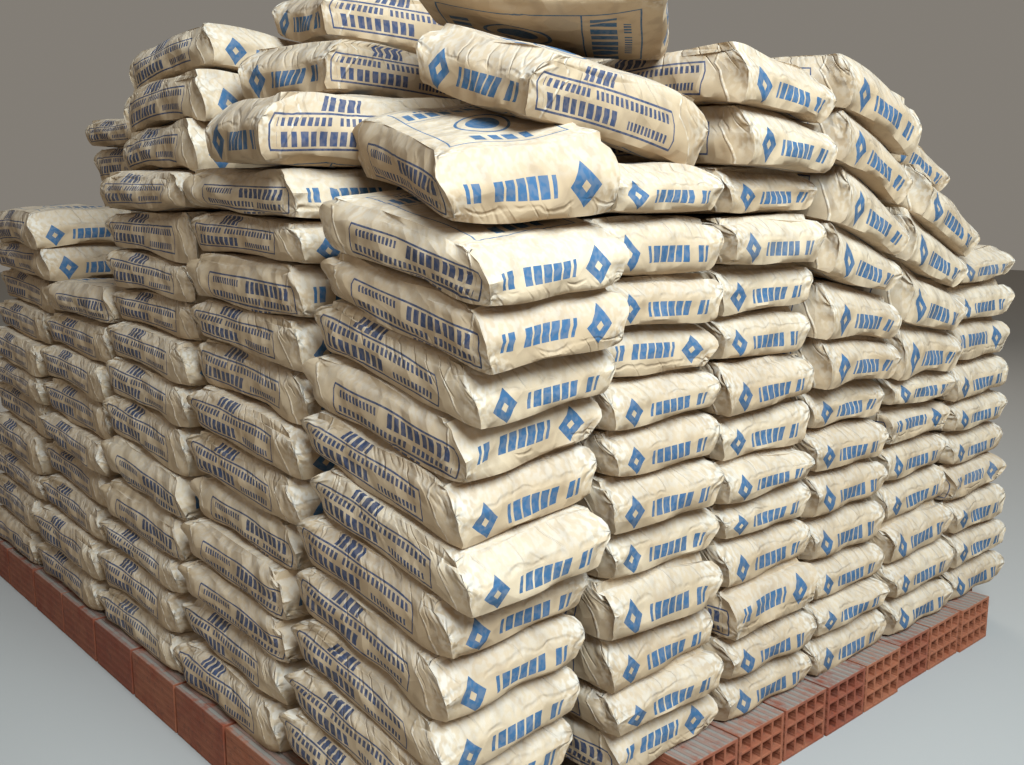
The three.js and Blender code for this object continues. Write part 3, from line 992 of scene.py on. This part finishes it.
def add_node(kind, inputs, **settings):
    node = Field.tree.nodes.new("ShaderNode" + kind)
    for name, value in settings.items():
        setattr(node, name, value)
    for slot, value in inputs.items():
        if isinstance(value, Field):
            Field.tree.links.new(value.socket, node.inputs[slot])
        else:
            node.inputs[slot].default_value = (*value, 1) if isinstance(value, tuple) else value
    return node


# %% The formulas that the patterns use
def largest(first, *others):
    for other in others:
        first = Field.math("MAXIMUM", first, other)
    return first


def smallest(a, b):
    return Field.math("MINIMUM", a, b)


def absolute(value):
    return Field.math("ABSOLUTE", value)


def whole(value):
    return Field.math("FLOOR", value)


def fraction(value):
    return Field.math("FRACT", value)


def split(value):
    return [Field(out) for out in add_node("SeparateXYZ", {0: value}).outputs]


def combine(x, y, z):
    return Field(add_node("CombineXYZ", {0: x, 1: y, 2: z}).outputs[0])


def soft_step(value, start, end):
    inputs = {"Value": value, "From Min": start, "From Max": end}
    return Field(add_node("MapRange", inputs, interpolation_type="SMOOTHSTEP").outputs["Result"])


def noise(coordinates, scale, detail, rough=0.5, dimensions="3D"):
    inputs = {"Vector": coordinates, "Scale": scale, "Detail": detail, "Roughness": rough}
    return Field(add_node("TexNoise", inputs, noise_dimensions=dimensions).outputs[0])


def flat_noise(coordinates, scale, detail):
    return noise(coordinates, scale, detail, dimensions="2D")


def coat(base, *coats):
    for share, colour in coats:
        base = Field(add_node("Mix", {0: share, 6: base, 7: colour}, data_type="RGBA").outputs[2])
    return base


# %% Start and finish a material
def start_material(name, rough):
    material = bpy.data.materials.new(name)
    material.use_nodes = True
    Field.tree = material.node_tree
    shader = material.node_tree.nodes["Principled BSDF"]
    shader.inputs["Roughness"].default_value = rough
    shader.inputs["Metallic"].default_value = 0
    return material, shader


def put_on(shader, colour, height):
    bump = add_node("Bump", {"Strength": 1, "Distance": 1, "Height": height})
    Field.tree.links.new(bump.outputs[0], shader.inputs["Normal"])
    Field.tree.links.new(colour.socket, shader.inputs["Base Color"])


def own_coordinates():
    return Field(add_node("TexCoord", {}).outputs["Object"])


def look_values():
    return split(Field(add_node("Attribute", {}, attribute_name=LOOK).outputs["Vector"]))


def facing(kind):
    return split(Field(add_node("NewGeometry", {}).outputs[kind]))


# %% [markdown]
# ## The print
# Real sacks are printed on every side. This print is plain and blue, and made for this model: a
# thin frame with rows of blocks on each side, a diamond and a row of blocks on each end, and a
# frame with a ring on the big faces. It could be painted as a picture, but a formula stays sharp
# from near by. Each part is a test on the place that the print map gives.

# %% Shapes of the print
CHANCE_STEP, CHANCE_SCALE = 12.9898, 437.585
FILL_CHANGE, LEFT_OUT = 0.25, 0.14


def between(value, low, high):
    return Field.math("COMPARE", value, (low + high) / 2, (high - low) / 2)


def box(u, v, left, right, low, high):
    return between(u, left, right) * between(v, low, high)


def outline(u, v, left, right, low, high, line):
    inner = box(u, v, left + line, right - line, low + line, high - line)
    return box(u, v, left, right, low, high) * (1 - inner)


def blocks(u, v, left, right, low, high, pitch, fill):
    place = u / pitch
    chance = fraction(Field.math("SINE", whole(place) * CHANCE_STEP) * CHANCE_SCALE)
    on = fraction(place) < (fill - FILL_CHANGE * chance)
    return box(u, v, left, right, low, high) * on * (chance > LEFT_OUT)


def diamond(u, v, middle, reach):
    return (absolute(u - middle[0]) + absolute(v - middle[1])) < reach


# %% The print of each panel, as left, right, low and high, with the line, or the pitch and fill
EMBLEM_MIDDLE, EMBLEM_REACH, EMBLEM_HOLE = (0.080, 0.040), 0.038, 0.011
END_ROW, END_SLANT = (0.140, 0.350, 0.018, 0.054, 0.0262, 0.92), 0.18
SIDE_FRAME = (0.022, 0.475, 0.014, 0.085, 0.0042)
SIDE_ROWS = [
    (0.040, 0.290, 0.022, 0.050, 0.0250, 0.82),
    (0.310, 0.455, 0.024, 0.040, 0.0130, 0.74),
    (0.040, 0.455, 0.060, 0.076, 0.0165, 0.76),
]
UPPER_ROW, UPPER_SLANT = (0.120, 0.235, 0.088, 0.118, 0.0280, 0.84), 0.25
FACE_FRAME, FACE_BAR = (0.050, 0.550, 0.045, 0.355, 0.0044), (0.404, 0.408, 0.045, 0.355)
FACE_ROWS = [
    (0.070, 0.335, 0.426, 0.490, 0.0350, 0.82),
    (0.110, 0.300, 0.506, 0.524, 0.0150, 0.74),
    (0.120, 0.290, 0.074, 0.122, 0.0420, 0.82),
]
RING_MIDDLE, RING_SQUASH, RING, DISC = (0.24, 0.20), 1.6, (0.080, 0.090), (0, 0.054)


def end_print(u, v):
    hole = diamond(u, v, EMBLEM_MIDDLE, EMBLEM_HOLE)
    emblem = diamond(u, v, EMBLEM_MIDDLE, EMBLEM_REACH) * (1 - hole)
    return largest(emblem, blocks(u - v * END_SLANT, v, *END_ROW))


def side_print(u, v):
    rows = [blocks(u, v, *row) for row in SIDE_ROWS]
    upper = blocks(u - v * UPPER_SLANT, v, *UPPER_ROW)
    return largest(outline(u, v, *SIDE_FRAME), *rows, upper)


def face_print(u, v):
    along, across = u - RING_MIDDLE[0], v - RING_MIDDLE[1]
    reach = Field.math("SQRT", along * along + across * across * RING_SQUASH)
    ring = between(reach, *RING) + between(reach, *DISC)
    rows = [blocks(v, u, *row) for row in FACE_ROWS]
    return largest(outline(u, v, *FACE_FRAME), box(u, v, *FACE_BAR), ring, *rows)


# %% [markdown]
# ## Paper
# Sack paper is warm and dull, a little lighter where it is rubbed and darker where it was handled.
# It has fine fibres, soft crumples, and short folds that run together at each corner of the sack.
# Its creases are painted darker, as painted shade.
# Pale powder lies on what looks up, and the same pale coat paints light from above onto the
# tops. A picture of paper could be wrapped round each sack, but it would repeat. Patterns made of
# nodes don't, because each sack shifts them by its look values.

# %% Folds and creases in the paper
EAR_V, EAR_CORE = 0.075, 0.008
EAR_FOLDS, EAR_WAVER, EAR_SHIFT = 5, 14, 6
RIDGE_V, RIDGE_WANDER, RIDGE_LINE, RIDGE_SHOWN = 0.066, 0.040, (0.0004, 0.0065), (0.42, 0.56)
SHOULDER_SLANT, SHOULDER_SHIFT, SHOULDER_STRETCH = 0.6, 7, 0.45
SHOULDER_SCALE, SHOULDER_WIDTH, SHOULDER_START = 17, 0.07, (0.050, 0.080)
TRIANGLE_RISE, TRIANGLE_FALL, TRIANGLE_LINE = (0.035, 0.76), (0.161, 0.83), (0.0008, 0.0060)


def ear_folds(u, v, is_end, is_face, waver, seed):
    length = SACK_LENGTH - is_end * (SACK_LENGTH - SACK_WIDTH)
    aside = smallest(u, length - u)
    up = smallest(v, SACK_WIDTH - v) * is_face + (v - EAR_V) * (1 - is_face)
    reach = Field.math("SQRT", aside * aside + up * up)
    angle = Field.math("ARCTAN2", up, aside)
    strength = 1 - soft_step(reach, EAR_CORE, EAR_REACH)
    wave = Field.math("SINE", angle * EAR_FOLDS + waver * EAR_WAVER + seed * EAR_SHIFT)
    return wave * strength, strength


def ridge_crease(v, is_end, waver):
    aside = absolute(v - RIDGE_V - (waver - 0.5) * RIDGE_WANDER)
    return (1 - soft_step(aside, *RIDGE_LINE)) * soft_step(waver, *RIDGE_SHOWN) * is_end


def shoulder_folds(u, v, is_face, seed):
    slanted = combine(u + v * SHOULDER_SLANT + seed * SHOULDER_SHIFT, v * SHOULDER_STRETCH, seed)
    aside = absolute(flat_noise(slanted, SHOULDER_SCALE, 1) - 0.5)
    return (1 - soft_step(aside, 0, SHOULDER_WIDTH)) * soft_step(v, *SHOULDER_START) * (1 - is_face)


def corner_triangle(u, v, is_side):
    to_end = smallest(u, SACK_LENGTH - u)
    rise = v * TRIANGLE_RISE[1] + TRIANGLE_RISE[0]
    fall = TRIANGLE_FALL[0] - v * TRIANGLE_FALL[1]
    return (1 - soft_step(absolute(to_end - smallest(rise, fall)), *TRIANGLE_LINE)) * is_side


# %% The colours of the paper
PAPER_ROUGH = 0.82
PAPER, PAPER_PALE, PAPER_DARK_AND_SHADE = (0.415, 0.281, 0.155), (0.555, 0.417, 0.264), (0.270, 0.178, 0.100)
SCUFF, POWDER_AND_TOP_LIGHT = (0.680, 0.590, 0.470), (0.530, 0.505, 0.460)
INK_BRIGHT, INK_DARK = (0.014, 0.078, 0.160), (0.019, 0.035, 0.084)
CLOUD_SHARE, TONE_SHARE, PALE_RANGE = 0.7, 0.24, (0.22, 0.92)
PATCH_SHARE, PATCH_RANGE = 0.40, (0.50, 0.78)
# Painted shade: how much the ridge line and the shoulder folds darken the paper
CREASE_SHADE_SHARE, LINE_SHADE_SHARE, FOLD_SHADE_SHARE = 0.40, 0.22, 0.20
EAR_SCUFF, TRIANGLE_SCUFF, FIBRE_SHARE = 0.45, 0.5, 0.12
# Upward faces get a pale coat: partly powder, partly painted light from above
POWDER_AND_LIGHT_SHARE, RUBBED_POWDER_AND_LIGHT, UP_RANGE = 0.12, 0.18, (0.05, 0.65)


def paper_colour(tone, cloudy, patchy, rubbed, fibre, crease_shade, ears):
    upward = soft_step(facing("Normal")[2], *UP_RANGE)
    return coat(
        PAPER,
        (soft_step(cloudy * CLOUD_SHARE + tone * TONE_SHARE, *PALE_RANGE), PAPER_PALE),
        (soft_step(patchy, *PATCH_RANGE) * PATCH_SHARE, PAPER_DARK_AND_SHADE),
        # painted shade in the creases
        (crease_shade * CREASE_SHADE_SHARE, PAPER_DARK_AND_SHADE),
        (ears * rubbed * EAR_SCUFF, SCUFF),
        # powder and painted light from above on upward faces
        (upward * (POWDER_AND_LIGHT_SHARE + RUBBED_POWDER_AND_LIGHT * rubbed), POWDER_AND_TOP_LIGHT),
        (fibre * FIBRE_SHARE, PAPER_DARK_AND_SHADE),
    )


# %% The paper material
FOLD_HEIGHT, CRUMPLE_HEIGHT, FACET_HEIGHT = 0.0017, 0.0040, 0.0080
LINE_DEPTH, FOLD_DEPTH, TRIANGLE_HEIGHT = 0.0022, 0.8, 0.0016
CLOUD_SCALE, PATCH_SCALE, FIBRE_SCALE, RUB_SCALE, WAVER_SCALE, FACET_SCALE = 5, 21, 420, 70, 12, 15
RUB_RANGE, SEED_SHIFT, PANEL_SHIFT = (0.38, 0.62), 9, 0.7
INK_TONE, INK_TONE_RANGE, INK_RANGE = 0.5, (0.3, 1.2), (-0.60, 0.16)
INK_SHARE, RUBBED_INK = 0.86, 0.11


def print_place():
    along, v, _ = split(Field(add_node("UVMap", {}, uv_map=PRINT_MAP).outputs[0]))
    panel = whole(along)
    return panel, along - panel, v


def make_paper():
    material, shader = start_material("sack_paper", PAPER_ROUGH)
    tone, ink, seed = look_values()
    panel, u, v = print_place()
    is_face, is_side = panel < PANELS["right"] - 0.5, panel > PANELS["left"] + 0.5
    is_end = between(panel, PANELS["right"] - 0.5, PANELS["left"] + 0.5)
    printed = largest(end_print(u, v) * is_end, side_print(u, v) * is_side, face_print(u, v) * is_face)
    on_paper = combine(u + seed * SEED_SHIFT, v + panel * PANEL_SHIFT, seed)
    cloudy = noise(own_coordinates(), CLOUD_SCALE, 1, rough=0.6)
    patchy, fibre = flat_noise(on_paper, PATCH_SCALE, 1), flat_noise(on_paper, FIBRE_SCALE, 0)
    rubbed = soft_step(flat_noise(on_paper, RUB_SCALE, 1), *RUB_RANGE)
    waver = flat_noise(on_paper, WAVER_SCALE, 2)
    wave, ears = ear_folds(u, v, is_end, is_face, waver, seed)
    line = ridge_crease(v, is_end, waver)
    fold = shoulder_folds(u, v, is_face, seed)
    triangle = corner_triangle(u, v, is_side)
    # Painted shade along the ridge line and the shoulder folds, besides their bump
    crease_shade = largest(line * LINE_SHADE_SHARE, fold * FOLD_SHADE_SHARE)
    bare = paper_colour(tone, cloudy, patchy, rubbed, fibre, crease_shade, ears)
    ink_colour = coat(INK_BRIGHT, (soft_step(is_side + ink * INK_TONE, *INK_TONE_RANGE), INK_DARK))
    strength = printed * (INK_SHARE + RUBBED_INK * rubbed) * soft_step(ink, *INK_RANGE)
    inputs = {"Vector": on_paper, "Scale": FACET_SCALE}
    facet = Field(add_node("TexVoronoi", inputs, voronoi_dimensions="2D").outputs["Distance"])
    height = wave * FOLD_HEIGHT + waver * CRUMPLE_HEIGHT + facet * FACET_HEIGHT
    height = height + triangle * TRIANGLE_HEIGHT - (line + fold * FOLD_DEPTH) * LINE_DEPTH
    colour = coat(bare, (triangle * rubbed * TRIANGLE_SCUFF, SCUFF), (strength, ink_colour))
    put_on(shader, colour, height)
    return material


paper = make_paper()
print("paper", len(paper.node_tree.nodes), "nodes")

# %% [markdown]
# ## Clay
# The bricks are red fired clay. The die leaves grooves along their outer faces, to hold mortar, their
# colour varies from brick to brick, and grey dust lies on the ribs of their upper faces. The grooves
# could be cut into the mesh, but they are only two millimetres deep, so they are bump.

# %% The clay material
CLAY_ROUGH = 0.90
CLAY, CLAY_PALE, CLAY_DARK = (0.205, 0.038, 0.011), (0.290, 0.082, 0.028), (0.075, 0.017, 0.008)
DUST = (0.205, 0.170, 0.135)
GROOVE_PITCH, GROOVE_DEPTH, RIDGE_RANGE = 0.0250, 0.0022, (-0.2, 0.5)
GRIT_HEIGHT, GRIT_SCALE, GRIT_SHARE, GRIT_RANGE, DARK_SHARE = 0.0012, 60, 0.3, (0.52, 0.75), 0.6
CLAY_CLOUDS, CLAY_TONE, CLAY_RANGE = 14, 0.5, (0.30, 0.85)
TOP_RANGE, SIDE_RANGE, DUST_RANGE = (0.6, 0.9), (0.3, 0.6), (0.30, 0.54)
TOP_DUST, RIDGE_DUST, SIDE_DUST = 0.58, 0.36, 0.08


def make_clay():
    material, shader = start_material("fired_clay", CLAY_ROUGH)
    tone = look_values()[0]
    place = own_coordinates()
    _, y, z = split(place)
    facing_x, _, facing_z = facing("True Normal")
    on_top = soft_step(facing_z, *TOP_RANGE) * (z > BRICK_HEIGHT - SHELL / 2)
    along = 1 - soft_step(absolute(facing_x), *SIDE_RANGE)
    stripe = Field.math("SINE", (y * on_top + z * (1 - on_top)) * (2 * math.pi / GROOVE_PITCH))
    ridge = soft_step(stripe, *RIDGE_RANGE)
    cloudy = noise(place, CLAY_CLOUDS, 3, rough=0.6)
    gritty = noise(place, GRIT_SCALE, 3, rough=0.7)
    dusty = soft_step(cloudy * CLOUD_SHARE + gritty * GRIT_SHARE, *DUST_RANGE)
    colour = coat(
        CLAY,
        (soft_step(cloudy * CLOUD_SHARE + tone * CLAY_TONE, *CLAY_RANGE), CLAY_PALE),
        (soft_step(gritty, *GRIT_RANGE) * DARK_SHARE, CLAY_DARK),
        (dusty * (on_top * (TOP_DUST + RIDGE_DUST * ridge) + SIDE_DUST), DUST),
    )
    put_on(shader, colour, ridge * along * GROOVE_DEPTH + gritty * GRIT_HEIGHT)
    return material


clay = make_clay()
print("clay", len(clay.node_tree.nodes), "nodes")

# %% Dress every piece
PAPER_ANGLE, CLAY_ANGLE = 50, 30


def dress(piece, material, angle):
    piece.data.materials.clear()
    piece.data.materials.append(material)
    pick(piece)
    bpy.ops.object.shade_smooth_by_angle(angle=math.radians(angle))
    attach(piece, "root")


for piece in layer_pieces + single_pieces:
    dress(piece, paper, PAPER_ANGLE)
for piece in brick_pieces:
    dress(piece, clay, CLAY_ANGLE)
pieces = layer_pieces + single_pieces + brick_pieces
triangles = sum(len(piece.data.loops) - 2 * len(piece.data.polygons) for piece in pieces)
print("pieces", len(pieces), "triangles", triangles)

# %% [markdown]
# ## Floor, light and camera
# The floor is plain and pale. The light is soft and comes mostly from the right and from above, so
# that the ends of the sacks are bright and their long sides lie in shade. A weak light fills in at
# the corner and another stands behind, so that the back isn't black. A bright sky all round would
# be simpler, but it lights every side alike. The camera stands where the picture of the stack was
# taken from, at head height off the sagging corner.

# %% The floor
FLOOR_SIZE, FLOOR_ROUGH, FLOOR_COLOUR = 40, 0.9, (0.350, 0.322, 0.286)
clear_selection()
bpy.ops.mesh.primitive_plane_add(size=FLOOR_SIZE, location=(0, 0, 0))
floor = bpy.context.object
floor.name = "floor"
floor_material, floor_shader = start_material("pale_floor", FLOOR_ROUGH)
floor_shader.inputs["Base Color"].default_value = (*FLOOR_COLOUR, 1)
floor.data.materials.append(floor_material)

# %% The lights and the air
STACK_MIDDLE, CORNER_MIDDLE = (0.3, -0.2, 1.0), (1.2, -1.0, 0.9)
AIR_COLOUR, AIR_STRENGTH = (1.0, 0.915, 0.80), 0.225


def add_light(name, place, aim, size, power, colour):
    light = bpy.data.lights.new(name, "AREA")
    light.shape = "DISK"
    light.size = size
    light.energy = power
    light.color = colour
    lamp = bpy.data.objects.new(name, light)
    bpy.context.scene.collection.objects.link(lamp)
    lamp.location = place
    lamp.rotation_euler = (Vector(aim) - Vector(place)).to_track_quat("-Z", "Y").to_euler()


add_light("sky_light", (4.6, -1.6, 4.9), STACK_MIDDLE, size=3.4, power=790, colour=(0.69, 0.855, 1.0))
add_light("corner_light", (3.6, -4.6, 2.6), CORNER_MIDDLE, size=2.5, power=27, colour=(1.0, 0.93, 0.84))
add_light("back_light", (-5.2, 4.4, 2.0), STACK_MIDDLE, size=3.4, power=270, colour=(1.0, 0.96, 0.90))
world = bpy.data.worlds.new("soft_world")
world.use_nodes = True
background = world.node_tree.nodes["Background"]
background.inputs["Color"].default_value = (*AIR_COLOUR, 1)
background.inputs["Strength"].default_value = AIR_STRENGTH
bpy.context.scene.world = world
bpy.context.scene.view_settings.view_transform = "Standard"
print("lights", [light.name for light in bpy.data.lights])

# %% The camera
SENSOR_WIDTH, FOCAL_PIXELS, PICTURE_WIDTH = 36, 1032, 1024
CAMERA_PLACE = (3.003, -2.418, 1.526)
CAMERA_YAW, CAMERA_PITCH, CAMERA_ROLL = math.radians(48.3), math.radians(-10.2), math.radians(0.05)
lens = bpy.data.cameras.new("camera")
lens.sensor_width = SENSOR_WIDTH
lens.lens = SENSOR_WIDTH * FOCAL_PIXELS / PICTURE_WIDTH
camera = bpy.data.objects.new("camera", lens)
bpy.context.scene.collection.objects.link(camera)
camera.location = CAMERA_PLACE
camera.rotation_euler = (math.pi / 2 + CAMERA_PITCH, CAMERA_ROLL, CAMERA_YAW)
bpy.context.scene.camera = camera
print("camera at", CAMERA_PLACE, "lens", round(lens.lens, 2), "mm")
